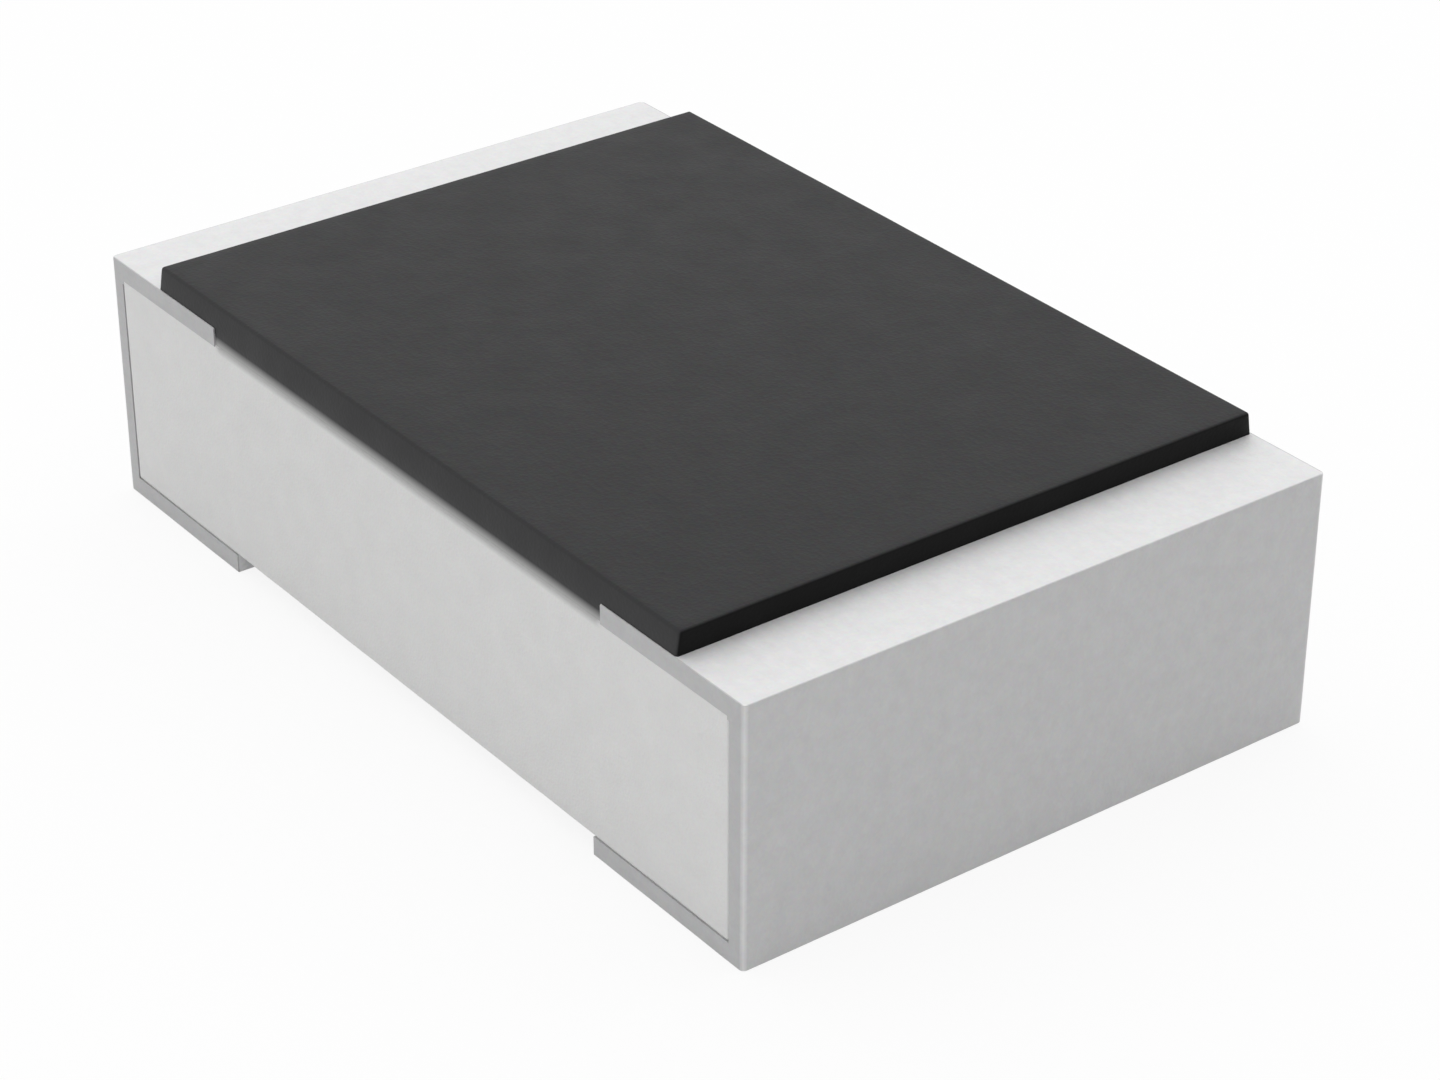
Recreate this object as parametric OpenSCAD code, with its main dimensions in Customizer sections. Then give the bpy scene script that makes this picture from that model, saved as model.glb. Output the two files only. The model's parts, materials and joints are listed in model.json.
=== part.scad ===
// Surface-mount chip resistor in the 0805 case (metric 2012).
// A ceramic chip carries a trimmed resistive film between two wrap-around metal terminals,
// under a black protective coat. The chip lies on its two solder faces at z = 0,
// with its length along X, its width along Y and its origin at the centre of the underside.

/* [Chip] */
// Length over both terminals
chip_length = 2.00; // [1.6:0.05:3.2]
// Width of the ceramic and of the terminals
chip_width = 1.25; // [1.0:0.05:1.6]

/* [Ceramic substrate] */
// Thickness of the ceramic
substrate_thickness = 0.44; // [0.30:0.01:0.60]
// Radius of the ceramic's lower and upright edges
substrate_edge_r = 0.007; // [0.004:0.001:0.014]
// Depth of the bevel that the snapped score line leaves round the top face
score_bevel = 0.010; // [0.006:0.001:0.014]

/* [Terminals] */
// Length of each terminal along the top face, the part under the coat included
top_band = 0.385; // [0.380:0.005:0.550]
// Length of each terminal along the underside
bottom_band = 0.415; // [0.250:0.005:0.550]
// Thickness of the printed electrodes on the top face
top_electrode_thickness = 0.016; // [0.012:0.001:0.030]
// Thickness of the printed electrodes on the underside and of the end electrodes
electrode_thickness = 0.026; // [0.016:0.001:0.040]
// Thickness of the nickel barrier
nickel_thickness = 0.004; // [0.003:0.001:0.008]
// Thickness of the tin plating
tin_thickness = 0.008; // [0.006:0.001:0.012]
// Radius of the tin's upright edges
tin_edge_r = 0.010; // [0.006:0.001:0.014]
// Radius of the tin's level edges
tin_level_r = 0.002; // [0.001:0.001:0.004]

/* [Resistive film] */
// Thickness of the film
film_thickness = 0.010; // [0.006:0.001:0.014]
// Distance of the film's side edges from the sides of the chip
film_inset = 0.175; // [0.100:0.005:0.250]
// Length of film that lies on each top electrode
film_overlap = 0.10; // [0.06:0.01:0.12]

/* [Laser trim] */
// Width of the laser kerf
kerf_width = 0.040; // [0.025:0.005:0.050]
// Distance of the first stroke from the middle of the chip, towards the left
trim_offset = 0.18; // [0.00:0.01:0.30]
// Depth of the first stroke, from the film's side edge
trim_depth = 0.38; // [0.20:0.01:0.55]
// Length of the second stroke, along the chip
trim_run = 0.34; // [0.10:0.01:0.45]
// Length by which the first stroke starts outside the film
trim_lead = 0.020; // [0.010:0.005:0.025]

/* [Glass passivation] */
// Thickness of the glass over the film
glass_thickness = 0.008; // [0.005:0.001:0.012]
// Margin of glass around the film
glass_margin = 0.050; // [0.045:0.005:0.060]

/* [Overcoat] */
// Length of each terminal's top face that the coat leaves bare
bare_top = 0.18; // [0.14:0.01:0.20]
// Height of the coat's top face above the terminals
coat_rise = 0.044; // [0.030:0.002:0.070]
// Width of the tin's lip that shows beside the coat
coat_lip = 0.003; // [0.002:0.001:0.005]
// Distance by which the coat's long flanks lean in towards its top face
coat_flank = 0.006; // [0.002:0.001:0.012]
// Radius of the coat's upper and upright edges
coat_edge_r = 0.006; // [0.004:0.001:0.012]

/* [Hidden] */
$fn = 48;

// The two plated layers, and the terminal wall at the end and on the underside
plating = nickel_thickness + tin_thickness;
wall = electrode_thickness + plating;

// The ceramic sits inside the terminals
substrate_length = chip_length - 2 * wall;
substrate_z0 = wall;
substrate_z1 = substrate_z0 + substrate_thickness;
terminal_height = substrate_z1 + top_electrode_thickness + plating;

// Where the right-hand electrodes begin and end
top_electrode_x0 = chip_length / 2 - top_band + plating;
bottom_electrode_x0 = chip_length / 2 - bottom_band + plating;
printed_electrode_x1 = substrate_length / 2 - score_bevel;
electrode_width = chip_width - 2 * plating;
electrode_top = substrate_z1 + top_electrode_thickness;

// Every layer on the top face is drawn from inside the ceramic, which then shapes its underside
layer_z0 = substrate_z1 - score_bevel;

// The coat reaches over the electrodes and the nickel, up to a thin lip of tin on each side
coat_length = chip_length - 2 * bare_top;
coat_width = chip_width - 2 * coat_lip;
coat_z1 = terminal_height + coat_rise;

// Steps of the film and the glass, where they climb onto the top electrodes
film_width = chip_width - 2 * film_inset;
film_step_x = top_electrode_x0 - film_thickness;
film_end_x = top_electrode_x0 + film_overlap;
glass_step_x = film_step_x - glass_thickness;
glass_end_x = film_end_x + glass_margin;
film_low_z = substrate_z1 + film_thickness;
film_high_z = electrode_top + film_thickness;
glass_low_z = film_low_z + glass_thickness;
glass_high_z = film_high_z + glass_thickness;
glass_width = film_width + 2 * glass_margin;

ceramic_colour = [0.86, 0.86, 0.85];
silver_colour = [0.74, 0.73, 0.70];
nickel_colour = [0.64, 0.62, 0.57];
tin_colour = [0.80, 0.80, 0.81];
film_colour = [0.10, 0.10, 0.12];
glass_colour = [0.20, 0.30, 0.26];
coat_colour = [0.13, 0.13, 0.14];

// Rectangle about the origin with round corners
module round_rectangle(size, r) {
    square([size[0] - 2 * r, size[1]], center = true);
    square([size[0], size[1] - 2 * r], center = true);
    for (x = [-1, 1], y = [-1, 1])
        translate([x * (size[0] / 2 - r), y * (size[1] / 2 - r)])
            circle(r);
}

// Rectangle about the origin with round lower corners and bevelled upper corners
module scored_rectangle(size, r, bevel) {
    x1 = size[0] / 2;
    y1 = size[1] / 2;
    polygon([
        [-x1, r - y1], [x1, r - y1], [x1, y1 - bevel],
        [x1 - bevel, y1], [bevel - x1, y1], [-x1, y1 - bevel]
    ]);
    translate([0, r / 2 - y1])
        square([size[0] - 2 * r, r], center = true);
    for (x = [-1, 1])
        translate([x * (x1 - r), r - y1])
            circle(r);
}

// Block about the origin with every edge rounded, where three prisms cross
module round_block(size, upright_r, level_r) {
    intersection() {
        linear_extrude(size[2], center = true)
            round_rectangle([size[0], size[1]], upright_r);
        rotate([90, 0, 0])
            linear_extrude(size[1], center = true)
                round_rectangle([size[0], size[2]], level_r);
        rotate([90, 0, 90])
            linear_extrude(size[0], center = true)
                round_rectangle([size[1], size[2]], level_r);
    }
}

// Plain block given by its lower and upper corners
module block(low, high) {
    translate(low)
        cube(high - low);
}

// Ceramic chip, snapped along score lines in its top face
module substrate_body() {
    translate([0, 0, (substrate_z0 + substrate_z1) / 2])
        intersection() {
            linear_extrude(substrate_thickness, center = true)
                round_rectangle([substrate_length, chip_width], substrate_edge_r);
            rotate([90, 0, 0])
                linear_extrude(chip_width, center = true)
                    scored_rectangle([substrate_length, substrate_thickness],
                                     substrate_edge_r, score_bevel);
            rotate([90, 0, 90])
                linear_extrude(substrate_length, center = true)
                    scored_rectangle([chip_width, substrate_thickness],
                                     substrate_edge_r, score_bevel);
        }
}

// Space of the right-hand terminal, up to a depth below its finished surface.
// On the top face it fills the ceramic's bevel. Elsewhere it wraps the ceramic's square outline,
// so that the rounded edge leaves a fine groove beside it.
module terminal_space(below) {
    x1 = chip_length / 2 - below;
    top_x0 = chip_length / 2 - top_band + below;
    bottom_x0 = chip_length / 2 - bottom_band + below;
    outline = [
        [bottom_x0, below], [x1, below],
        [x1, terminal_height - below], [top_x0, terminal_height - below],
        [top_x0, layer_z0], [substrate_length / 2, layer_z0],
        [substrate_length / 2, substrate_z0], [bottom_x0, substrate_z0]
    ];
    rotate([90, 0, 0])
        linear_extrude(chip_width - 2 * below, center = true)
            polygon(outline);
}

// Layer that is low between the top electrodes and high on them
module stepped_layer(low_z, high_z, step_x, end_x, width) {
    outline = [
        [-end_x, layer_z0], [end_x, layer_z0], [end_x, high_z], [step_x, high_z],
        [step_x, low_z], [-step_x, low_z], [-step_x, high_z], [-end_x, high_z]
    ];
    rotate([90, 0, 0])
        linear_extrude(width, center = true)
            polygon(outline);
}

module film_space() {
    stepped_layer(film_low_z, film_high_z, film_step_x, film_end_x, film_width);
}

module glass_space() {
    stepped_layer(glass_low_z, glass_high_z, glass_step_x, glass_end_x, glass_width);
}

// One straight stroke of the laser between two points, with the round ends of its spot
module kerf_stroke(from, to) {
    reach = to - from;
    translate(from) {
        circle(kerf_width / 2);
        rotate(atan2(reach[1], reach[0]))
            translate([0, -kerf_width / 2])
                square([norm(reach), kerf_width]);
    }
    translate(to)
        circle(kerf_width / 2);
}

// L-shaped trim cut through the glass and the film
module trim_cut() {
    start = [-trim_offset, -film_width / 2 - trim_lead];
    turn = [-trim_offset, -film_width / 2 + trim_depth];
    finish = turn + [trim_run, 0];
    translate([0, 0, layer_z0])
        linear_extrude(glass_high_z - layer_z0) {
            kerf_stroke(start, turn);
            kerf_stroke(turn, finish);
        }
}

// Space of the printed electrode on the top face of the right-hand end
module top_electrode_space() {
    block([top_electrode_x0, -electrode_width / 2, layer_z0],
          [printed_electrode_x1, electrode_width / 2, electrode_top]);
}

module top_electrode() {
    difference() {
        top_electrode_space();
        substrate_body();
    }
}

// Printed electrode on the underside of the right-hand end
module bottom_electrode() {
    difference() {
        block([bottom_electrode_x0, -electrode_width / 2, plating],
              [printed_electrode_x1, electrode_width / 2, substrate_z0 + substrate_edge_r]);
        substrate_body();
    }
}

// Electrode that runs round the right-hand end face from one printed electrode to the other
module end_electrode() {
    difference() {
        block([printed_electrode_x1, -electrode_width / 2, plating],
              [chip_length / 2 - plating, electrode_width / 2, electrode_top]);
        substrate_body();
    }
}

// Nickel over the right-hand electrodes, stopped by the coat
module nickel_barrier() {
    difference() {
        terminal_space(tin_thickness);
        terminal_space(plating);
        substrate_body();
        coat_space();
    }
}

// Tin over the nickel, with the terminal's finished edges
module tin_plating() {
    difference() {
        intersection() {
            terminal_space(0);
            translate([0, 0, terminal_height / 2])
                round_block([chip_length, chip_width, terminal_height], tin_edge_r, tin_level_r);
        }
        terminal_space(tin_thickness);
        substrate_body();
        coat_space();
    }
}

// Section across the coat: upright at the terminals, leaning in above them, round at the top
module coat_section() {
    foot = coat_width / 2;
    shoulder = foot - coat_flank;
    round_z = coat_z1 - coat_edge_r;
    polygon([
        [-foot, layer_z0], [foot, layer_z0], [foot, terminal_height], [shoulder, round_z],
        [shoulder - coat_edge_r, coat_z1], [coat_edge_r - shoulder, coat_z1],
        [-shoulder, round_z], [-foot, terminal_height]
    ]);
    for (side = [-1, 1])
        translate([side * (shoulder - coat_edge_r), round_z])
            circle(coat_edge_r);
}

// Sides of the right-hand terminal below its electrode's top, where the coat can't reach
module terminal_sides() {
    depth = chip_width / 2;
    for (side = [-1, 1])
        translate([chip_length / 2 - top_band, side * (electrode_width + depth) / 2 - depth / 2, 0])
            cube([top_band, depth, electrode_top]);
}

// Whole space of the coat, what it covers included
module coat_space() {
    size = [coat_length, coat_width, coat_z1 - layer_z0 + coat_edge_r];
    difference() {
        intersection() {
            rotate([90, 0, 90])
                linear_extrude(coat_length, center = true)
                    coat_section();
            translate([0, 0, coat_z1 - size[2] / 2])
                round_block(size, coat_edge_r, coat_edge_r);
        }
        both_ends()
            terminal_sides();
    }
}

// Turns a right-hand piece into its left-hand twin
module left() {
    mirror([1, 0, 0])
        children();
}

module both_ends() {
    children();
    left()
        children();
}

module ceramic_substrate() {
    color(ceramic_colour)
        substrate_body();
}

module top_electrode_left() {
    color(silver_colour)
        left()
            top_electrode();
}

module top_electrode_right() {
    color(silver_colour)
        top_electrode();
}

module bottom_electrode_left() {
    color(silver_colour)
        left()
            bottom_electrode();
}

module bottom_electrode_right() {
    color(silver_colour)
        bottom_electrode();
}

module end_electrode_left() {
    color(silver_colour)
        left()
            end_electrode();
}

module end_electrode_right() {
    color(silver_colour)
        end_electrode();
}

module nickel_barrier_left() {
    color(nickel_colour)
        left()
            nickel_barrier();
}

module nickel_barrier_right() {
    color(nickel_colour)
        nickel_barrier();
}

module tin_plating_left() {
    color(tin_colour)
        left()
            tin_plating();
}

module tin_plating_right() {
    color(tin_colour)
        tin_plating();
}

module resistive_film() {
    color(film_colour)
        difference() {
            film_space();
            substrate_body();
            both_ends()
                top_electrode_space();
            trim_cut();
        }
}

module glass_passivation() {
    color(glass_colour)
        difference() {
            glass_space();
            substrate_body();
            both_ends()
                top_electrode_space();
            film_space();
            trim_cut();
        }
}

module overcoat() {
    color(coat_colour)
        difference() {
            coat_space();
            substrate_body();
            both_ends()
                top_electrode_space();
            difference() {
                glass_space();
                trim_cut();
            }
        }
}

ceramic_substrate();
top_electrode_left();
top_electrode_right();
bottom_electrode_left();
bottom_electrode_right();
end_electrode_left();
end_electrode_right();
nickel_barrier_left();
nickel_barrier_right();
tin_plating_left();
tin_plating_right();
resistive_film();
glass_passivation();
overcoat();
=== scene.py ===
# %% [markdown]
# # A chip resistor under the macro lens
#
# The real part is two millimetres long: a pale ceramic chip, a tinned cap round each end and a
# coat of black resin on top. Its solids come packed from the CAD model, in metres, and they are
# the fixed frame of this scene. Nothing of it is moved. Blender adds what the solids lack: an
# uneven surface, finishes, light and a camera.

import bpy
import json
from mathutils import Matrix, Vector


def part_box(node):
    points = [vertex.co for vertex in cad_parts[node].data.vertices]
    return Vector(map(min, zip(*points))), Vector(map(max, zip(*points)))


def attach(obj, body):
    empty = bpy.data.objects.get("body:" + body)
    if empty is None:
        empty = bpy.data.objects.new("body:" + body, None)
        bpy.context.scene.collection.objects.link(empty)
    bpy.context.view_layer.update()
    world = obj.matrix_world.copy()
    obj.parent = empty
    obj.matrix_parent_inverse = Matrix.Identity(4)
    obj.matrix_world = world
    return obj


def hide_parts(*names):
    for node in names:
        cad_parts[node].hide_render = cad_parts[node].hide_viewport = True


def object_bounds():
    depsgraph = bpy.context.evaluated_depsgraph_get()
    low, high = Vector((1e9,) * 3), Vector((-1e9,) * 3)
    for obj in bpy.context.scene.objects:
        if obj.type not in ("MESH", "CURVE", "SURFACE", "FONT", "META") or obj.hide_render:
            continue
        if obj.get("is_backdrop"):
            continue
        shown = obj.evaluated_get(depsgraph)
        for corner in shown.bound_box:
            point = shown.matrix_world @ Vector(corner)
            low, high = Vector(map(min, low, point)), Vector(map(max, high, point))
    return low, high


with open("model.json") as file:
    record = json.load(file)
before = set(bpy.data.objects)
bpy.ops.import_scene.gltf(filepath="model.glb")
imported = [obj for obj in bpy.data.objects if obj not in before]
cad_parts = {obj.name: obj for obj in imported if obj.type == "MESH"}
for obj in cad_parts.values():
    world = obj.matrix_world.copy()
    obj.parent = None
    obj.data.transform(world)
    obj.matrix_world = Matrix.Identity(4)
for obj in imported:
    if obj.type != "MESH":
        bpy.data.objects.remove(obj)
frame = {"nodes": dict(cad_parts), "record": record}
cad_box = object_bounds()
print("solids in the frame:", len(frame["nodes"]))

# %% [markdown]
# ## Measures
#
# A plated part is measured in thousandths of a millimetre, so that is the unit of most lengths
# below. Only the stage and the camera are given in millimetres. Whatever the boxes of the solids
# say is read from them. What a box can't say, such as a rounding, is written here again.

# %% Read the sizes from the frame
MICRON = 1e-6
MILLIMETRE = 1e-3

ceramic_low, ceramic_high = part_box("ceramic_substrate")
electrode_low, electrode_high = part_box("top_electrode_right")
lower_electrode_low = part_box("bottom_electrode_right")[0]
nickel_low, nickel_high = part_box("nickel_barrier_right")
tin_low, tin_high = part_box("tin_plating_right")
glass_low, glass_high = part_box("glass_passivation")
coat_low, coat_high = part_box("overcoat")

tin_thickness = nickel_low.z - tin_low.z
plating = lower_electrode_low.z - tin_low.z
top_band_x = electrode_low.x - plating
print("chip, microns:", [round(size / MICRON) for size in cad_box[1] - cad_box[0]])
print("tin and nickel, microns:", round(plating / MICRON, 1))

# %% [markdown]
# ## Starting a piece as by hand
#
# Every piece begins as a cube that is added at its size and place. The cube's own place and scale
# are then applied, so the object sits at the origin and the place is in the mesh, as it is in the
# solids. An operator works on all that is selected, and loading the frame leaves the solids
# selected, so the first step is always to let go of everything.

# %% Add a block
import bpy
from mathutils import Vector


def add_block(name, low, high):
    """Adds a block between two corners, with its place in its mesh."""
    bpy.ops.object.select_all(action="DESELECT")
    bpy.ops.mesh.primitive_cube_add(size=1, location=(low + high) / 2, scale=high - low)
    bpy.ops.object.transform_apply(location=True, rotation=True, scale=True)
    block = bpy.context.object
    block.name = name
    return block


# %% [markdown]
# ## Choosing edges in code
#
# By hand an edge is clicked. A script says where it lies instead. Each test here looks at one edge
# and answers yes or no: does it rise, does it lie level at a height, is it a rim where a level face
# meets a wall? A piece is then rounded or chamfered along the edges that pass. A Bevel modifier
# would be quicker, but it gives all sharp edges one width, and on this chip hardly two kinds of
# edge are the same.

# %% Tests for edges
import bmesh

X, Y, Z = range(3)
SAME_PLACE = 0.01 * MICRON
WALL_TILT = 0.5


def lies_on(edge, axis, place):
    """Whether both ends of an edge lie at a place along an axis."""
    return all(abs(vertex.co[axis] - place) < SAME_PLACE for vertex in edge.verts)


def rises(edge):
    """Whether an edge goes up, straight or leaning."""
    return not lies_on(edge, Z, edge.verts[0].co.z)


def stands(edge):
    """Whether an edge goes straight up."""
    foot = edge.verts[0].co
    return rises(edge) and lies_on(edge, X, foot.x) and lies_on(edge, Y, foot.y)


def rims(edge, z):
    """Whether a level face meets a wall along an edge at a height."""
    walls = [face for face in edge.link_faces if abs(face.normal.z) < WALL_TILT]
    return lies_on(edge, Z, z) and len(walls) == 1


# %% Bevel the edges that pass a test
ROUND_SEGMENTS = 6
ROUND_PROFILE = 0.5


def bevel_edges(piece, wanted, width, segments=ROUND_SEGMENTS):
    """Rounds the edges that pass a test, or chamfers them with one segment."""
    bpy.context.view_layer.objects.active = piece
    bpy.ops.object.mode_set(mode="EDIT")
    bpy.ops.mesh.select_mode(type="EDGE")
    bpy.ops.mesh.select_all(action="DESELECT")
    mesh = bmesh.from_edit_mesh(piece.data)
    mesh.normal_update()
    for edge in mesh.edges:
        edge.select_set(wanted(edge))
    bmesh.update_edit_mesh(piece.data)
    bpy.ops.mesh.bevel(offset=width, segments=segments, profile=ROUND_PROFILE, affect="EDGES")
    bpy.ops.object.mode_set(mode="OBJECT")


# %% [markdown]
# ## Pulling faces out
#
# The other tool that shapes most of the pieces is the extrude. The faces to pull are found by where
# their middle lies. Pulled faces can be scaled in the same move, and then the new walls lean. Blocks
# could be joined instead, but an extrude keeps the piece one closed skin.

# %% Extrude the faces that pass a test
def extrude_faces(piece, wanted, reach, scale=(1, 1, 1)):
    """Pulls the faces whose middle passes a test, and scales them about the chip's middle."""
    bpy.context.view_layer.objects.active = piece
    bpy.ops.object.mode_set(mode="EDIT")
    bpy.ops.mesh.select_mode(type="FACE")
    bpy.ops.mesh.select_all(action="DESELECT")
    mesh = bmesh.from_edit_mesh(piece.data)
    for face in mesh.faces:
        face.select_set(wanted(face.calc_center_median()))
    bmesh.update_edit_mesh(piece.data)
    bpy.ops.mesh.extrude_region_move(TRANSFORM_OT_translate={"value": reach})
    bpy.ops.transform.resize(value=scale, center_override=(0, 0, 0))
    bpy.ops.object.mode_set(mode="OBJECT")


# %% [markdown]
# ## A surface that is not perfectly flat
#
# Fired ceramic, plated metal and printed resin are never as flat as a drawing. To bend a flat face
# it needs points to bend by, so the block is first sliced into a fine grid with the bisect tool.
# A Displace modifier with a cloud pattern then pushes the points inwards by a micron or so. It only
# pushes inwards, so the piece never grows out of its solid. A bump in the material would be cheaper,
# but it is lost where the mesh is used without its material.

# %% Slice a block into a grid
import numpy as np

FEWEST_SLICES = 2


def slice_into_grid(piece, low, high, spacing):
    """Cuts a block by evenly spaced planes across each axis."""
    bpy.context.view_layer.objects.active = piece
    bpy.ops.object.mode_set(mode="EDIT")
    for axis in (X, Y, Z):
        normal = Vector()
        normal[axis] = 1
        count = max(FEWEST_SLICES, round((high[axis] - low[axis]) / spacing))
        for place in np.linspace(low[axis], high[axis], count + 1)[1:-1]:
            point = Vector()
            point[axis] = place
            bpy.ops.mesh.select_all(action="SELECT")
            bpy.ops.mesh.bisect(plane_co=point, plane_no=normal, threshold=SAME_PLACE)
    bpy.ops.object.mode_set(mode="OBJECT")


# %% Press the grid in by a cloud pattern
CLOUD_SIZE = 100 * MICRON
CLOUD_DEPTH = 2


def press_unevenly(piece, depth):
    """Pushes the points of a piece inwards by up to the depth, more in some places than in others."""
    clouds = bpy.data.textures.new(piece.name + "_swell", "CLOUDS")
    clouds.noise_scale = CLOUD_SIZE
    clouds.noise_depth = CLOUD_DEPTH
    press = piece.modifiers.new("uneven surface", "DISPLACE")
    press.texture = clouds
    press.texture_coords = "LOCAL"
    press.direction = "NORMAL"
    press.mid_level = 0
    press.strength = -depth
    bpy.context.view_layer.objects.active = piece
    bpy.ops.object.modifier_apply(modifier=press.name)


# %% [markdown]
# ## Fitting one piece to another
#
# The layers of the chip lie on each other without a gap, so each upper one has the form of what it
# covers on its underside. That form is cut out with a Boolean modifier, by a copy of the lower piece
# or a block in its place. Cutters overlap instead of just touching, because two faces in one plane
# leave stray sheets behind.

# %% Cut one piece with another
def cut_away(piece, cutter):
    """Takes the cutter's space out of the piece, and throws the cutter away."""
    cut = piece.modifiers.new("cut", "BOOLEAN")
    cut.operation = "DIFFERENCE"
    cut.solver = "EXACT"
    cut.object = cutter
    bpy.context.view_layer.objects.active = piece
    bpy.ops.object.modifier_apply(modifier=cut.name)
    bpy.data.objects.remove(cutter)


# %% [markdown]
# ## Handing a piece over
#
# A finished piece is shaded smooth where its faces meet at a small angle, so that rounds look round
# and corners stay sharp. It then rides on the frame's only body and stands for its solid, which is
# hidden.

# %% Finish a piece
from math import radians

SMOOTH_BELOW = radians(35)


def hand_over(piece, node):
    """Smooths the round edges of a finished piece and lets it stand for its solid."""
    bpy.ops.object.select_all(action="DESELECT")
    piece.select_set(True)
    bpy.context.view_layer.objects.active = piece
    bpy.ops.object.shade_smooth_by_angle(angle=SMOOTH_BELOW)
    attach(piece, "root")
    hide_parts(node)
    size = [round(length / MICRON, 1) for length in piece.dimensions]
    print(piece.name, "measures", size, "microns,", len(piece.data.polygons), "faces")


# %% [markdown]
# ## The ceramic chip
#
# The chip is fired alumina, snapped from a plate along score lines in its top face. Half of each
# score line stays behind as a bevel round the top, and the other edges are only broken. So the
# block is chamfered above and rounded below and at its corners. The grid comes after the bevels,
# so that the round edges get points along their length and their highlight wanders a little.

# %% Shape the ceramic
CERAMIC_EDGE = 7 * MICRON
SCORE_BEVEL = 10 * MICRON
CERAMIC_GRID = 24 * MICRON
CERAMIC_SWELL = 1.0 * MICRON


def add_ceramic(name):
    """Adds the chip's block, chamfered round its top and rounded elsewhere."""
    block = add_block(name, ceramic_low, ceramic_high)
    bevel_edges(block, lambda edge: rims(edge, ceramic_high.z), SCORE_BEVEL, segments=1)
    bevel_edges(block, lambda edge: stands(edge) or rims(edge, ceramic_low.z), CERAMIC_EDGE)
    return block


ceramic_chip = add_ceramic("ceramic_chip")
slice_into_grid(ceramic_chip, ceramic_low, ceramic_high, CERAMIC_GRID)
press_unevenly(ceramic_chip, CERAMIC_SWELL)
hand_over(ceramic_chip, "ceramic_substrate")

# %% [markdown]
# ## The black coat
#
# The coat is resin, printed over the film through a screen and cured. It stands upright between the
# caps and leans in a little above them, because the wet paste settles. So a block is made up to the
# height of the caps, and its top is extruded and drawn in. The block reaches down into the ceramic,
# and what lies under it is cut away again in the next steps.

# %% Shape the coat
COAT_EDGE = 6 * MICRON
COAT_FLANK = 6 * MICRON
COAT_GRID = 26 * MICRON
COAT_SWELL = 0.6 * MICRON

layer_low_z = ceramic_high.z - SCORE_BEVEL
block_low = Vector((coat_low.x, coat_low.y, layer_low_z))
block_high = Vector((coat_high.x, coat_high.y, tin_high.z))
rise = coat_high.z - tin_high.z
drawn_in = COAT_FLANK * rise / (rise - COAT_EDGE)

black_coat = add_block("black_coat", block_low, block_high)
extrude_faces(
    black_coat,
    lambda middle: abs(middle.z - tin_high.z) < SAME_PLACE,
    (0, 0, rise),
    (1, 1 - drawn_in / coat_high.y, 1),
)
bevel_edges(black_coat, lambda edge: rises(edge) or lies_on(edge, Z, coat_high.z), COAT_EDGE)
slice_into_grid(black_coat, block_low, coat_high, COAT_GRID)
press_unevenly(black_coat, COAT_SWELL)
print("the coat rises above the caps by", round(rise / MICRON, 1), "microns")

# %% [markdown]
# ## The underside of the coat
#
# Below, the coat steps over three things: the ceramic with its bevel, the electrodes at both ends
# and the thin edges of the caps beside them. Each is one cut, and the loops make both ends and both
# sides alike.

# %% Cut the space of the ceramic and of the caps
MARGIN = 60 * MICRON

cut_away(black_coat, add_ceramic("ceramic_space"))
cut_low_z = block_low.z - MARGIN
for end in (-1, 1):
    near, far = sorted((end * electrode_low.x, end * (coat_high.x + MARGIN)))
    low = Vector((near, coat_low.y - MARGIN, cut_low_z))
    high = Vector((far, coat_high.y + MARGIN, electrode_high.z))
    cut_away(black_coat, add_block("electrode_space", low, high))
    near, far = sorted((end * top_band_x, end * (coat_high.x + MARGIN)))
    for side in (-1, 1):
        inner, outer = sorted((side * electrode_high.y, side * (coat_high.y + MARGIN)))
        low = Vector((near, inner, cut_low_z))
        high = Vector((far, outer, electrode_high.z))
        cut_away(black_coat, add_block("cap_side_space", low, high))
print("the coat has", len(black_coat.data.polygons), "faces so far")

# %% [markdown]
# ## The slot that the laser left
#
# A laser trims the film to its value by a cut in the form of a letter L, straight in from one side
# and then along the chip. The resin fills that slot. Its cutter is one upright stroke, with the foot
# of the L extruded from the end of it. All of its outer corners are rounded by just under half its
# width, so that the two rounds at an end don't quite meet.

# %% Shape the slot
KERF = 40 * MICRON
KERF_ROUND = 0.99 * KERF / 2
TRIM_X = -180 * MICRON
TRIM_START_Y = -470 * MICRON
TRIM_TURN_Y = -70 * MICRON
TRIM_END_X = 160 * MICRON
OUTER_TURN = radians(30)

spot = Vector((KERF / 2, KERF / 2, 0))
turn_y = TRIM_TURN_Y - spot.y
stroke_x = TRIM_X + spot.x
low = Vector((TRIM_X, TRIM_START_Y, cut_low_z - MARGIN)) - spot
high = Vector((TRIM_X, TRIM_TURN_Y, glass_high.z + MARGIN)) + spot
laser_slot = add_block("laser_slot", low, high)
bpy.ops.object.mode_set(mode="EDIT")
bpy.ops.mesh.bisect(plane_co=(0, turn_y, 0), plane_no=(0, 1, 0), threshold=SAME_PLACE)
bpy.ops.object.mode_set(mode="OBJECT")
extrude_faces(
    laser_slot,
    lambda middle: abs(middle.x - stroke_x) < SAME_PLACE and middle.y > turn_y,
    (TRIM_END_X - TRIM_X, 0, 0),
)
bevel_edges(
    laser_slot,
    lambda edge: stands(edge) and edge.calc_face_angle_signed() > OUTER_TURN,
    KERF_ROUND,
)
print("the slot has", len(laser_slot.data.polygons), "faces")

# %% [markdown]
# ## The glass under the coat
#
# The glass lies on the film, flat in the middle and a step higher where the film climbs onto the
# electrodes. The slot is first taken out of the middle block, so that cutting the coat with it leaves
# a wall of resin in the slot. Two higher blocks then make room for the raised ends.

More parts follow.
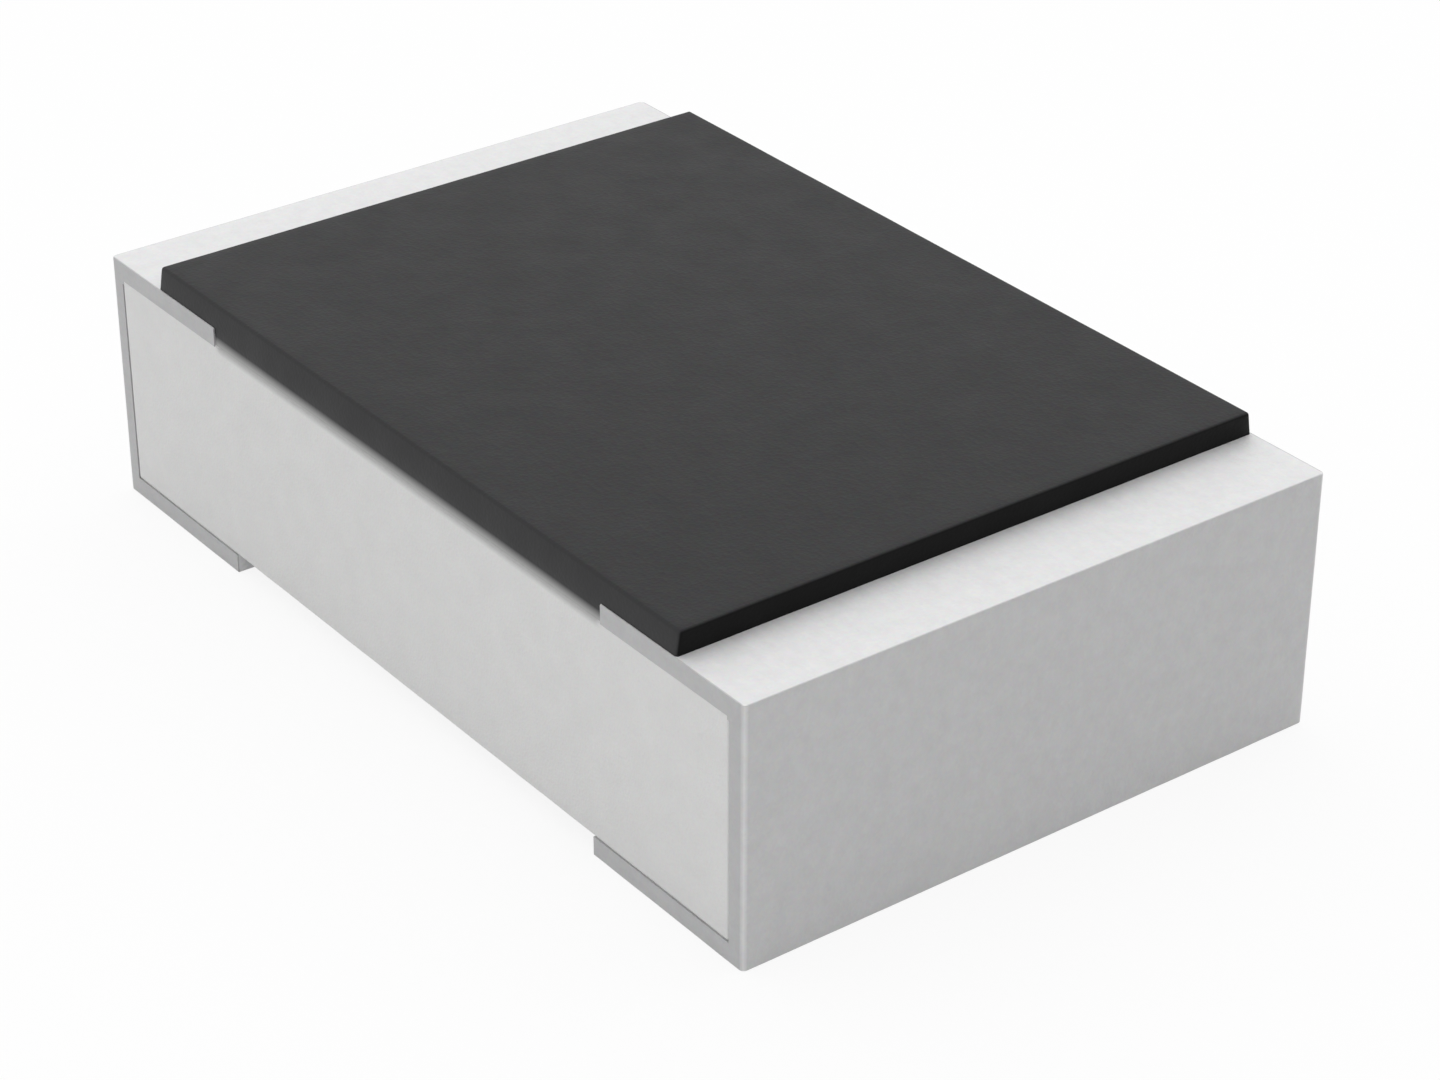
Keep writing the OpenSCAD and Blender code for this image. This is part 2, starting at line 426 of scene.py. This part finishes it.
# %% Cut the glass that the coat lies on
STEP_OVERLAP = 20 * MICRON

film_and_glass = glass_high.z - electrode_high.z
step_x = electrode_low.x - film_and_glass
middle_x = step_x + STEP_OVERLAP
low = Vector((-middle_x, glass_low.y, cut_low_z))
high = Vector((middle_x, glass_high.y, ceramic_high.z + film_and_glass))
glass_space = add_block("glass_space", low, high)
cut_away(glass_space, laser_slot)
cut_away(black_coat, glass_space)
for end in (-1, 1):
    near, far = sorted((end * step_x, end * glass_high.x))
    low = Vector((near, glass_low.y, cut_low_z))
    high = Vector((far, glass_high.y, glass_high.z))
    cut_away(black_coat, add_block("glass_end", low, high))
hand_over(black_coat, "overcoat")

# %% [markdown]
# ## The tin caps
#
# Each end of the chip is plated: nickel first, then a few microns of tin that wraps the end face, a
# band above, a band below and the thin edges of the bands. Seen from the side that is a letter C.
# The end wall starts as a block, and its upper and lower strips are extruded along the chip. The
# inside is then cut out by a smaller C, which leaves the skin of tin. A Solidify modifier could give
# an open shell its thickness too, but not the steps where the skin meets ceramic and coat.

# %% Extrude a letter C
def add_c_block(name, low, high, top_x, inner_low, inner_high):
    """Adds an end wall and extrudes a lower band and an upper band of it along the chip."""
    inner_x = inner_high.x
    block = add_block(name, Vector((inner_x, low.y, low.z)), high)
    bpy.ops.object.mode_set(mode="EDIT")
    for z in (inner_low.z, inner_high.z):
        bpy.ops.mesh.select_all(action="SELECT")
        bpy.ops.mesh.bisect(plane_co=(0, 0, z), plane_no=(0, 0, 1), threshold=SAME_PLACE)
    bpy.ops.object.mode_set(mode="OBJECT")

    def in_lower_band(middle):
        return abs(middle.x - inner_x) < SAME_PLACE and middle.z < inner_low.z

    def in_upper_band(middle):
        return abs(middle.x - inner_x) < SAME_PLACE and middle.z > inner_high.z

    extrude_faces(block, in_lower_band, (low.x - inner_x, 0, 0))
    extrude_faces(block, in_upper_band, (top_x - inner_x, 0, 0))
    return block


# %% Shape the right-hand cap
TIN_CORNER = 10 * MICRON
TIN_RIM = 2 * MICRON
RIM_SEGMENTS = 3
TIN_GRID = 20 * MICRON
TIN_SWELL = 0.8 * MICRON

bite = Vector((CERAMIC_EDGE, CERAMIC_EDGE, CERAMIC_EDGE))
inner_high = Vector((ceramic_high.x, ceramic_high.y, layer_low_z - bite.z))
tin_cap_right = add_c_block(
    "tin_cap_right", tin_low, tin_high, top_band_x, ceramic_low, inner_high
)


def is_outer_corner(edge):
    """Whether an edge rises at the outer end of the cap."""
    return stands(edge) and lies_on(edge, X, tin_high.x)


def is_outer_rim(edge):
    """Whether an edge is a rim of the cap, but not at the start of a band."""
    at_start = lies_on(edge, X, tin_low.x) or lies_on(edge, X, top_band_x)
    return (rims(edge, tin_low.z) or rims(edge, tin_high.z)) and not at_start


bevel_edges(tin_cap_right, is_outer_corner, TIN_CORNER)
bevel_edges(tin_cap_right, is_outer_rim, TIN_RIM, RIM_SEGMENTS)
slice_into_grid(tin_cap_right, tin_low, tin_high, TIN_GRID)
press_unevenly(tin_cap_right, TIN_SWELL)
print("the cap has", len(tin_cap_right.data.polygons), "faces while it is solid")

# %% Hollow it out
core = add_c_block(
    "nickel_space",
    nickel_low,
    nickel_high,
    top_band_x + tin_thickness,
    ceramic_low + bite,
    inner_high - bite,
)
cut_away(tin_cap_right, core)
cut_away(tin_cap_right, add_ceramic("ceramic_space"))
print("the skin of tin is", round(tin_thickness / MICRON, 1), "microns thick")

# %% Cut the space of the coat
low = Vector((coat_low.x, coat_low.y, electrode_high.z))
high = coat_high + Vector((0, 0, MARGIN))
coat_space = add_block("coat_space", low, high)
bevel_edges(coat_space, stands, COAT_EDGE)
cut_away(tin_cap_right, coat_space)

low = Vector((coat_low.x, electrode_low.y, cut_low_z))
high = Vector((coat_high.x, electrode_high.y, tin_high.z))
cut_away(tin_cap_right, add_block("coat_foot_space", low, high))
print("the cap has", len(tin_cap_right.data.polygons), "faces when it is hollow")

# %% [markdown]
# ## The other cap
#
# Both caps are the same, so the second one is a copy with a mesh of its own. It is turned by half a
# turn about the middle of the chip. A mirrored copy would have its faces inside out.

# %% Copy it to the left
HALF_TURN = radians(180)

bpy.ops.object.select_all(action="DESELECT")
tin_cap_right.select_set(True)
bpy.context.view_layer.objects.active = tin_cap_right
bpy.ops.object.duplicate(linked=False)
tin_cap_left = bpy.context.object
tin_cap_left.name = "tin_cap_left"
bpy.ops.transform.rotate(value=HALF_TURN, orient_axis="Z", center_override=(0, 0, 0))
bpy.ops.object.transform_apply(location=True, rotation=True, scale=True)

hand_over(tin_cap_right, "tin_plating_right")
hand_over(tin_cap_left, "tin_plating_left")

# %% [markdown]
# ## Finishes
#
# A finish is a Principled shader with patterns behind its colour, roughness and bump. The patterns
# read Object coordinates, so they stay on the piece from any side, and no picture has to be wrapped
# round it. A noise pattern of scale one has lumps about a metre wide, so a lump of some microns needs
# a scale of one over its size.

# %% Start a finish
def new_finish(name):
    """A material with its shader, its node tree and its Object coordinates."""
    finish = bpy.data.materials.new(name)
    finish.use_nodes = True
    tree = finish.node_tree
    shader = tree.nodes["Principled BSDF"]
    place = tree.nodes.new("ShaderNodeTexCoord").outputs["Object"]
    return finish, tree, shader, place


def dress(tree, shader, colour, roughness, relief):
    """Leads a colour, a roughness and a bump into the shader."""
    tree.links.new(colour, shader.inputs["Base Color"])
    tree.links.new(roughness, shader.inputs["Roughness"])
    tree.links.new(relief, shader.inputs["Normal"])


# %% Make patterns
LUMP_DETAIL = 3.0


def stretched(tree, place, scale):
    """The coordinates, stretched along the axes."""
    mapping = tree.nodes.new("ShaderNodeMapping")
    mapping.inputs["Scale"].default_value = scale
    tree.links.new(place, mapping.inputs["Vector"])
    return mapping.outputs["Vector"]


def lumps(tree, place, size, detail=LUMP_DETAIL):
    """A soft noise pattern with lumps of a given size."""
    noise = tree.nodes.new("ShaderNodeTexNoise")
    noise.inputs["Scale"].default_value = 1 / size
    noise.inputs["Detail"].default_value = detail
    tree.links.new(place, noise.inputs["Vector"])
    return noise.outputs["Fac"]


def grains(tree, place, size):
    """A pattern of packed grains, each with a shade of its own."""
    cells = tree.nodes.new("ShaderNodeTexVoronoi")
    cells.inputs["Scale"].default_value = 1 / size
    tree.links.new(place, cells.inputs["Vector"])
    return cells.outputs["Color"], cells.outputs["Distance"]


# %% [markdown]
# ## From pattern to surface
#
# Most of a noise pattern lies between three and seven tenths. That span is stretched over the two
# roughnesses or the two shades that a surface goes between, and a bump node turns the same pattern
# into a relief with a height in metres.

# %% Turn patterns into colour, roughness and bump
NOISE_START = 0.3
NOISE_END = 0.7


def between(tree, pattern, low, high, start=NOISE_START, end=NOISE_END):
    """A number that goes from low to high as the pattern goes from start to end."""
    span = tree.nodes.new("ShaderNodeMapRange")
    span.inputs["From Min"].default_value = start
    span.inputs["From Max"].default_value = end
    span.inputs["To Min"].default_value = low
    span.inputs["To Max"].default_value = high
    tree.links.new(pattern, span.inputs["Value"])
    return span.outputs["Result"]


def shade_between(tree, pattern, dark, light):
    """A colour that goes from dark to light with the pattern."""
    ramp = tree.nodes.new("ShaderNodeValToRGB")
    ramp.color_ramp.elements[0].position = NOISE_START
    ramp.color_ramp.elements[0].color = (*dark, 1)
    ramp.color_ramp.elements[1].position = NOISE_END
    ramp.color_ramp.elements[1].color = (*light, 1)
    tree.links.new(pattern, ramp.inputs["Fac"])
    return ramp.outputs["Color"]


def tinted(tree, colour, pattern, share):
    """The colour, multiplied by a share of the pattern."""
    mix = tree.nodes.new("ShaderNodeMix")
    mix.data_type = "RGBA"
    mix.blend_type = "MULTIPLY"
    mix.inputs["Factor"].default_value = share
    tree.links.new(colour, mix.inputs["A"])
    tree.links.new(pattern, mix.inputs["B"])
    return mix.outputs["Result"]


def bumped(tree, pattern, height, below=None):
    """A bump of the given height, over another one where there is one."""
    bump = tree.nodes.new("ShaderNodeBump")
    bump.inputs["Distance"].default_value = height
    tree.links.new(pattern, bump.inputs["Height"])
    if below is not None:
        tree.links.new(below, bump.inputs["Normal"])
    return bump.outputs["Normal"]


# %% [markdown]
# ## Marks that belong to a place
#
# Some marks are not spread all over a piece. A corner gets a painted highlight, or a rim or a face
# gets painted shade. For these a finish needs to know where on the piece a point lies. The chip is
# the same on both sides of its middle, so the distance from the middle along an axis is enough, and
# it is turned into a number from nothing to full by the same range node as before.

# %% Find a place on the piece
def distance_out(tree, place, axis):
    """How far a point lies from the middle along an axis."""
    split = tree.nodes.new("ShaderNodeSeparateXYZ")
    tree.links.new(place, split.inputs["Vector"])
    size = tree.nodes.new("ShaderNodeMath")
    size.operation = "ABSOLUTE"
    tree.links.new(split.outputs[axis], size.inputs[0])
    return size.outputs["Value"]


def both(tree, first, second):
    """One number out of two: full only where both are."""
    product = tree.nodes.new("ShaderNodeMath")
    product.operation = "MULTIPLY"
    tree.links.new(first, product.inputs[0])
    tree.links.new(second, product.inputs[1])
    return product.outputs["Value"]


def marked(tree, colour, mark, mark_colour):
    """The colour, going over into another one where the mark is full."""
    mix = tree.nodes.new("ShaderNodeMix")
    mix.data_type = "RGBA"
    mix.inputs["B"].default_value = (*mark_colour, 1)
    tree.links.new(mark, mix.inputs["Factor"])
    tree.links.new(colour, mix.inputs["A"])
    return mix.outputs["Result"]


# %% [markdown]
# ## Alumina
#
# Fired alumina is a pale, dry surface of packed grains a few microns wide, with a faint cloudiness
# from the pressing. Along the foot of the coat, between the caps, it gets painted shade: a darker grey
# where the coat shades its bevelled shoulder. The grains are a cell pattern, which gives both their
# shades and their small domes.

# %% Choose the alumina's values
CERAMIC_CLOUD = 70 * MICRON
CERAMIC_GRAIN = 5 * MICRON
CERAMIC_PIT = 14 * MICRON
CERAMIC_RELIEF = 0.5 * MICRON
CERAMIC_DARK = (0.73, 0.73, 0.725)
CERAMIC_LIGHT = (0.76, 0.76, 0.755)
CERAMIC_GRAIN_TINT = 0.03
CERAMIC_ROUGHNESS = (0.62, 0.74)
CERAMIC_GLOSS = 0.35
# Painted shade: a darker grey on the ceramic just under the coat's foot, between the caps.
UNDER_COAT_SHADE_DEPTH = 14 * MICRON
UNDER_COAT_SHADE_FADE = 15 * MICRON
UNDER_COAT_SHADE_COLOUR = (0.45, 0.45, 0.447)


# %% Mix the alumina
def alumina():
    """Pale fired ceramic."""
    finish, tree, shader, place = new_finish("alumina_ceramic")
    clouds = lumps(tree, place, CERAMIC_CLOUD)
    grain_shade, grain_dome = grains(tree, place, CERAMIC_GRAIN)
    colour = shade_between(tree, clouds, CERAMIC_DARK, CERAMIC_LIGHT)
    colour = tinted(tree, colour, grain_shade, CERAMIC_GRAIN_TINT)
    height = distance_out(tree, place, "Z")
    along = distance_out(tree, place, "X")
    # Painted shade under the coat's foot, fading out towards the caps.
    near_coat = between(tree, height, 0, 1, coat_low.z - UNDER_COAT_SHADE_DEPTH, coat_low.z)
    between_caps = between(tree, along, 1, 0, top_band_x - UNDER_COAT_SHADE_FADE, top_band_x)
    colour = marked(tree, colour, both(tree, near_coat, between_caps), UNDER_COAT_SHADE_COLOUR)
    roughness = between(tree, clouds, *CERAMIC_ROUGHNESS)
    relief = bumped(tree, grain_dome, CERAMIC_RELIEF)
    relief = bumped(tree, lumps(tree, place, CERAMIC_PIT), CERAMIC_RELIEF, relief)
    dress(tree, shader, colour, roughness, relief)
    shader.inputs["Specular IOR Level"].default_value = CERAMIC_GLOSS
    return finish


# %% [markdown]
# ## Tin
#
# Plated tin is a matte metal. It is made of crystals so fine that most of the light leaves it in all
# directions, and only a small share is mirrored, so the shader is metal by that share alone. Faint
# streaks along the chip come from the tumbling barrel. The upright corners get a painted highlight,
# a lighter colour along their rounds. The end face and the thin edges at the sides are painted
# darker than the bands, as painted shade on the faces that are not on top.

# %% Choose the tin's values
MIRRORED_SHARE = 0.25
TIN_BLOTCH = 30 * MICRON
TIN_BLOTCH_DETAIL = 5.0
TIN_STREAK = 14 * MICRON
TIN_STREAK_SCALE = (0.12, 1, 1)
TIN_GRAIN = 6 * MICRON
TIN_BLOTCH_RELIEF = 0.6 * MICRON
TIN_STREAK_RELIEF = 0.4 * MICRON
TIN_GRAIN_RELIEF = 0.3 * MICRON
BAND_DARK = (0.75, 0.75, 0.755)
BAND_LIGHT = (0.775, 0.775, 0.78)
# Painted shade: the end face and the side edges are coloured darker than the bands.
PAINTED_END_SHADE = (0.60, 0.60, 0.605)
PAINTED_SIDE_SHADE = (0.525, 0.525, 0.53)
# Painted highlight: the upright corners are coloured lighter.
PAINTED_CORNER_HIGHLIGHT = (0.95, 0.95, 0.95)
BLOTCH_DARK = (0.95, 0.95, 0.95)
BLOTCH_LIGHT = (1, 1, 1)
BLOTCH_TINT = 1
TIN_GRAIN_TINT = 0.05
TIN_ROUGHNESS = (0.52, 0.62)


# %% Mix the tin
def matte_tin():
    """Matte plated tin."""
    finish, tree, shader, place = new_finish("matte_tin")
    blotches = lumps(tree, place, TIN_BLOTCH, TIN_BLOTCH_DETAIL)
    streaks = lumps(tree, stretched(tree, place, TIN_STREAK_SCALE), TIN_STREAK)
    grain_shade, grain_dome = grains(tree, place, TIN_GRAIN)
    colour = shade_between(tree, streaks, BAND_DARK, BAND_LIGHT)
    along = distance_out(tree, place, "X")
    across = distance_out(tree, place, "Y")
    at_end = between(tree, along, 0, 1, tin_high.x - TIN_CORNER, tin_high.x)
    at_side = between(tree, across, 0, 1, tin_high.y - TIN_CORNER, tin_high.y)
    end_shade_mask = between(tree, along, 0, 1, tin_high.x - 2 * TIN_RIM, tin_high.x - TIN_RIM)
    side_shade_mask = between(tree, across, 0, 1, tin_high.y - 2 * TIN_RIM, tin_high.y - TIN_RIM)
    # Painted shade on the end face and the side edges.
    colour = marked(tree, colour, end_shade_mask, PAINTED_END_SHADE)
    colour = marked(tree, colour, side_shade_mask, PAINTED_SIDE_SHADE)
    # Painted highlight on the upright corners.
    colour = marked(tree, colour, both(tree, at_end, at_side), PAINTED_CORNER_HIGHLIGHT)
    blotch_shade = shade_between(tree, blotches, BLOTCH_DARK, BLOTCH_LIGHT)
    colour = tinted(tree, colour, blotch_shade, BLOTCH_TINT)
    colour = tinted(tree, colour, grain_shade, TIN_GRAIN_TINT)
    roughness = between(tree, streaks, *TIN_ROUGHNESS)
    relief = bumped(tree, grain_dome, TIN_GRAIN_RELIEF)
    relief = bumped(tree, streaks, TIN_STREAK_RELIEF, relief)
    relief = bumped(tree, blotches, TIN_BLOTCH_RELIEF, relief)
    dress(tree, shader, colour, roughness, relief)
    shader.inputs["Metallic"].default_value = MIRRORED_SHARE
    return finish


# %% [markdown]
# ## Black resin
#
# The coat is a matte black resin, filled with fine mineral powder, with the slight orange peel of a
# printed paste. Its end walls are painted a deeper black, as painted shade on the faces turned away
# from the light. Its long flanks are painted a shade greyer, as painted light on the sides. At its
# foot, where it ends on the bevel of the ceramic, it is painted a pale grey: the resin is thin there,
# and the grey also stands in for the shade on the ceramic's shoulder below. All of these are marks by
# place, because a second material would end in a hard line.

# %% Choose the resin's values
RESIN_CLOUD = 90 * MICRON
RESIN_GRAIN = 7 * MICRON
RESIN_PEEL = 22 * MICRON
RESIN_GRAIN_RELIEF = 0.25 * MICRON
RESIN_PEEL_RELIEF = 0.35 * MICRON
RESIN_DARK = (0.024, 0.024, 0.025)
RESIN_LIGHT = (0.029, 0.029, 0.030)
RESIN_GRAIN_TINT = 0.2
RESIN_ROUGHNESS = (0.46, 0.56)
RESIN_GLOSS = 0.13
# Painted shade: the end walls are coloured a deeper black.
PAINTED_END_WALL_SHADE = (0.003, 0.003, 0.003)
END_TURN = 3 * MICRON
END_WAVE = 1 * MICRON
# Painted light: the long flanks are coloured a lighter black.
PAINTED_FLANK_LIGHT = (0.040, 0.040, 0.041)
# A pale grey at the coat's foot: thin resin, and painted shade of the ceramic's shoulder below.
THIN_AND_SHADED_HEIGHT = 20 * MICRON
THIN_AND_SHADED_FOOT = (0.45, 0.45, 0.447)


# %% Mix the resin
def black_resin():
    """Matte black printed resin."""
    finish, tree, shader, place = new_finish("black_overcoat")
    clouds = lumps(tree, place, RESIN_CLOUD)
    grain_shade, grain_dome = grains(tree, place, RESIN_GRAIN)
    colour = shade_between(tree, clouds, RESIN_DARK, RESIN_LIGHT)
    colour = tinted(tree, colour, grain_shade, RESIN_GRAIN_TINT)
    height = distance_out(tree, place, "Z")
    along = distance_out(tree, place, "X")
    across = distance_out(tree, place, "Y")
    flank_y = coat_high.y - COAT_FLANK
    lit_flank_mask = between(tree, across, 0, 1, flank_y - COAT_EDGE, flank_y)
    at_end = between(tree, along, 0, 1, coat_high.x - END_TURN, coat_high.x - END_WAVE)
    thin_and_shaded_mask = between(tree, height, 1, 0, coat_low.z, coat_low.z + THIN_AND_SHADED_HEIGHT)
    # Painted light on the long flanks.
    colour = marked(tree, colour, lit_flank_mask, PAINTED_FLANK_LIGHT)
    # Painted shade on the end walls.
    colour = marked(tree, colour, at_end, PAINTED_END_WALL_SHADE)
    # Thin resin and painted shade at the coat's foot.
    colour = marked(tree, colour, thin_and_shaded_mask, THIN_AND_SHADED_FOOT)
    roughness = between(tree, clouds, *RESIN_ROUGHNESS)
    relief = bumped(tree, grain_dome, RESIN_GRAIN_RELIEF)
    relief = bumped(tree, lumps(tree, place, RESIN_PEEL), RESIN_PEEL_RELIEF, relief)
    dress(tree, shader, colour, roughness, relief)
    shader.inputs["Specular IOR Level"].default_value = RESIN_GLOSS
    return finish


# %% [markdown]
# ## The metals inside
#
# Nothing of the inner layers shows on a whole chip, and they stay as their solids. They still get
# the finish of the real thing, for whoever takes the part to pieces. Fired silver and plated nickel
# differ only in their shades, their grain and their polish, so one function makes both.

# %% Mix the silver and the nickel
METAL_CLOUD = 40 * MICRON
METAL_RELIEF = 0.6 * MICRON
METAL_GRAIN_TINT = 0.15
FIRED_SILVER = ((0.66, 0.65, 0.62), (0.78, 0.77, 0.74))
SILVER_GRAIN = 3 * MICRON
SILVER_ROUGHNESS = (0.45, 0.62)
PLATED_NICKEL = ((0.56, 0.53, 0.47), (0.66, 0.63, 0.57))
NICKEL_GRAIN = 2 * MICRON
NICKEL_ROUGHNESS = (0.28, 0.40)


def inner_metal(name, shades, grain, roughness_span):
    """A metal layer with a grain of its own."""
    finish, tree, shader, place = new_finish(name)
    clouds = lumps(tree, place, METAL_CLOUD)
    grain_shade, grain_dome = grains(tree, place, grain)
    colour = shade_between(tree, clouds, *shades)
    colour = tinted(tree, colour, grain_shade, METAL_GRAIN_TINT)
    roughness = between(tree, clouds, *roughness_span)
    dress(tree, shader, colour, roughness, bumped(tree, grain_dome, METAL_RELIEF))
    shader.inputs["Metallic"].default_value = 1.0
    return finish


# %% [markdown]
# ## Film and glass
#
# The resistive film is glass and metal oxide fired together, dark and finely grained. The glass over
# it is a thin green melt that lets some light through. It is smooth, so it has waves and no grains.

# %% Mix the film
FILM_CLOUD = 30 * MICRON
FILM_GRAIN = 4 * MICRON
FILM_RELIEF = 0.6 * MICRON
FILM_DARK = (0.030, 0.030, 0.038)
FILM_LIGHT = (0.060, 0.060, 0.070)
FILM_GRAIN_TINT = 0.4
FILM_ROUGHNESS = (0.40, 0.62)


def fired_film():
    """The dark resistive film."""
    finish, tree, shader, place = new_finish("resistive_film")
    clouds = lumps(tree, place, FILM_CLOUD)
    grain_shade, grain_dome = grains(tree, place, FILM_GRAIN)
    colour = shade_between(tree, clouds, FILM_DARK, FILM_LIGHT)
    colour = tinted(tree, colour, grain_shade, FILM_GRAIN_TINT)
    roughness = between(tree, clouds, *FILM_ROUGHNESS)
    dress(tree, shader, colour, roughness, bumped(tree, grain_dome, FILM_RELIEF))
    return finish


# %% Mix the glass
GLASS_CLOUD = 50 * MICRON
GLASS_RELIEF = 0.8 * MICRON
GLASS_DARK = (0.16, 0.26, 0.22)
GLASS_LIGHT = (0.24, 0.36, 0.31)
GLASS_ROUGHNESS = (0.08, 0.20)
GLASS_CLEARNESS = 0.6


def fired_glass():
    """The thin green glass over the film."""
    finish, tree, shader, place = new_finish("glass_passivation")
    clouds = lumps(tree, place, GLASS_CLOUD)
    colour = shade_between(tree, clouds, GLASS_DARK, GLASS_LIGHT)
    roughness = between(tree, clouds, *GLASS_ROUGHNESS)
    dress(tree, shader, colour, roughness, bumped(tree, clouds, GLASS_RELIEF))
    shader.inputs["Transmission Weight"].default_value = GLASS_CLEARNESS
    return finish


# %% [markdown]
# ## Dressing the chip
#
# Each finish is mixed once and shared by all pieces of its kind. The record says which solid wears
# which, so the solids are dressed from that list. Their materials change, but never their meshes.

# %% Give each piece its finish
finishes = {
    "alumina_ceramic": alumina(),
    "matte_tin": matte_tin(),
    "black_overcoat": black_resin(),
    "silver_electrode": inner_metal(
        "silver_electrode", FIRED_SILVER, SILVER_GRAIN, SILVER_ROUGHNESS
    ),
    "nickel_barrier": inner_metal(
        "nickel_barrier", PLATED_NICKEL, NICKEL_GRAIN, NICKEL_ROUGHNESS
    ),
    "resistive_film": fired_film(),
    "glass_passivation": fired_glass(),
}


def wear(piece, slot):
    """Gives a piece one finish all over."""
    piece.data.materials.clear()
    piece.data.materials.append(finishes[slot])


wear(ceramic_chip, "alumina_ceramic")
wear(tin_cap_right, "matte_tin")
wear(tin_cap_left, "matte_tin")
wear(black_coat, "black_overcoat")
for subpart in frame["record"]["subparts"]:
    solid = frame["nodes"][subpart["node"]]
    for material_slot in solid.material_slots:
        material_slot.material = finishes[subpart["material_slot"]]
print("finishes:", sorted(finishes))

# %% [markdown]
# ## Floor
#
# The chip lies on a white sheet. A white surface only renders white where all of the light reaches
# it, so the camera and the mirrors also see part of the sheet's own glow. The rest is ordinary
# shading, which keeps the chip's soft shadow. More light would make the sheet white too, but it would
# bleach the chip.

# %% Lay the sheet
FLOOR_SIZE = 120 * MILLIMETRE
FLOOR_GAP = 0.2 * MICRON

bpy.ops.object.select_all(action="DESELECT")
bpy.ops.mesh.primitive_plane_add(size=FLOOR_SIZE, location=(0, 0, cad_box[0].z - FLOOR_GAP))
floor = bpy.context.object
floor.name = "white_sheet"
floor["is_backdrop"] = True
print("the sheet is", round(floor.dimensions.x / MILLIMETRE), "mm wide")

# %% Let the sheet glow where it is seen
FLOOR_WHITE = (0.90, 0.90, 0.90, 1)
FLOOR_GLOW = 0.87

sheet = bpy.data.materials.new("white_sheet")
sheet.use_nodes = True
tree = sheet.node_tree
paper = tree.nodes["Principled BSDF"]
paper.inputs["Base Color"].default_value = FLOOR_WHITE
paper.inputs["Roughness"].default_value = 1.0
paper.inputs["Specular IOR Level"].default_value = 0.0
glow = tree.nodes.new("ShaderNodeEmission")
rays = tree.nodes.new("ShaderNodeLightPath")
seen = rays.outputs["Is Camera Ray"]
for kind in ("Is Glossy Ray", "Is Transmission Ray"):
    either = tree.nodes.new("ShaderNodeMath")
    either.operation = "MAXIMUM"
    tree.links.new(seen, either.inputs[0])
    tree.links.new(rays.outputs[kind], either.inputs[1])
    seen = either.outputs["Value"]
share = tree.nodes.new("ShaderNodeMath")
share.operation = "MULTIPLY"
share.inputs[1].default_value = FLOOR_GLOW
tree.links.new(seen, share.inputs[0])
blend = tree.nodes.new("ShaderNodeMixShader")
tree.links.new(share.outputs["Value"], blend.inputs["Fac"])
tree.links.new(paper.outputs["BSDF"], blend.inputs[1])
tree.links.new(glow.outputs["Emission"], blend.inputs[2])
tree.links.new(blend.outputs["Shader"], tree.nodes["Material Output"].inputs["Surface"])
floor.data.materials.append(sheet)
print("the sheet's finish has", len(tree.nodes), "nodes")

# %% [markdown]
# ## Light
#
# A chip this small is photographed in a light tent: one side of the tent and its roof are bright,
# and the other side is left dark, so that the edges stand apart. The world is such a tent. Its
# brightness depends on how far a direction turns from the bright side. Lamps would do as well, but
# each would need a size and a place a few millimetres away.

# %% Set up the light tent
BRIGHT_SIDE = (-0.55, 0.30, 0.78)
TENT_DARK = 0.30
TENT_BRIGHT = 1.30
TENT_START = -0.5
TENT_END = 0.9
TENT_WHITE = (1, 1, 1, 1)

scene = bpy.context.scene
world = bpy.data.worlds.new("light_tent")
scene.world = world
world.use_nodes = True
tree = world.node_tree
direction = tree.nodes.new("ShaderNodeTexCoord").outputs["Generated"]
turn = tree.nodes.new("ShaderNodeVectorMath")
turn.operation = "DOT_PRODUCT"
turn.inputs[1].default_value = Vector(BRIGHT_SIDE).normalized()
tree.links.new(direction, turn.inputs[0])
fade = tree.nodes.new("ShaderNodeMapRange")
fade.interpolation_type = "SMOOTHSTEP"
fade.inputs["From Min"].default_value = TENT_START
fade.inputs["From Max"].default_value = TENT_END
fade.inputs["To Min"].default_value = TENT_DARK
fade.inputs["To Max"].default_value = TENT_BRIGHT
tree.links.new(turn.outputs["Value"], fade.inputs["Value"])
tent = tree.nodes["Background"]
tent.inputs["Color"].default_value = TENT_WHITE
tree.links.new(fade.outputs["Result"], tent.inputs["Strength"])
scene.view_settings.view_transform = "Standard"
print("the tent goes from", TENT_DARK, "to", TENT_BRIGHT)

# %% [markdown]
# ## Camera
#
# The camera stands where the photographer stood: in front of one corner, about seven millimetres
# away and thirty degrees up, with a long lens. It was held a touch askew, so it is rolled about its
# own line of sight by a fraction of a degree. A constraint could aim it at the chip, but then it
# couldn't be rolled.

# %% Place the camera
from mathutils import Quaternion

CAMERA_PLACE = Vector((4.8635, -3.5733, 3.5986)) * MILLIMETRE
CAMERA_AIM = Vector((-0.69312, 0.52051, -0.49865))
LINE_OF_SIGHT = (0, 0, 1)
CAMERA_ROLL = radians(0.12)
LENS = 93.54
SENSOR = 36.0
CLIP_NEAR = 0.1 * MILLIMETRE
CLIP_FAR = 200 * MILLIMETRE

lens = bpy.data.cameras.new("macro_camera")
lens.sensor_width = SENSOR
lens.lens = LENS
lens.clip_start = CLIP_NEAR
lens.clip_end = CLIP_FAR
camera = bpy.data.objects.new("macro_camera", lens)
scene.collection.objects.link(camera)
camera.location = CAMERA_PLACE
camera.rotation_mode = "QUATERNION"
level = CAMERA_AIM.to_track_quat("-Z", "Y")
camera.rotation_quaternion = level @ Quaternion(LINE_OF_SIGHT, CAMERA_ROLL)
scene.camera = camera
distance = camera.location.length / MILLIMETRE
print("the camera is", round(distance, 2), "mm from the middle of the chip's underside")

# %% Print both boxes
import json

visual_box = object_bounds()
boxes = {
    "cad": [list(corner) for corner in cad_box],
    "visual": [list(corner) for corner in visual_box],
}
for name, corners in boxes.items():
    print(name, "box, microns:", [[round(place / MICRON, 2) for place in corner] for corner in corners])
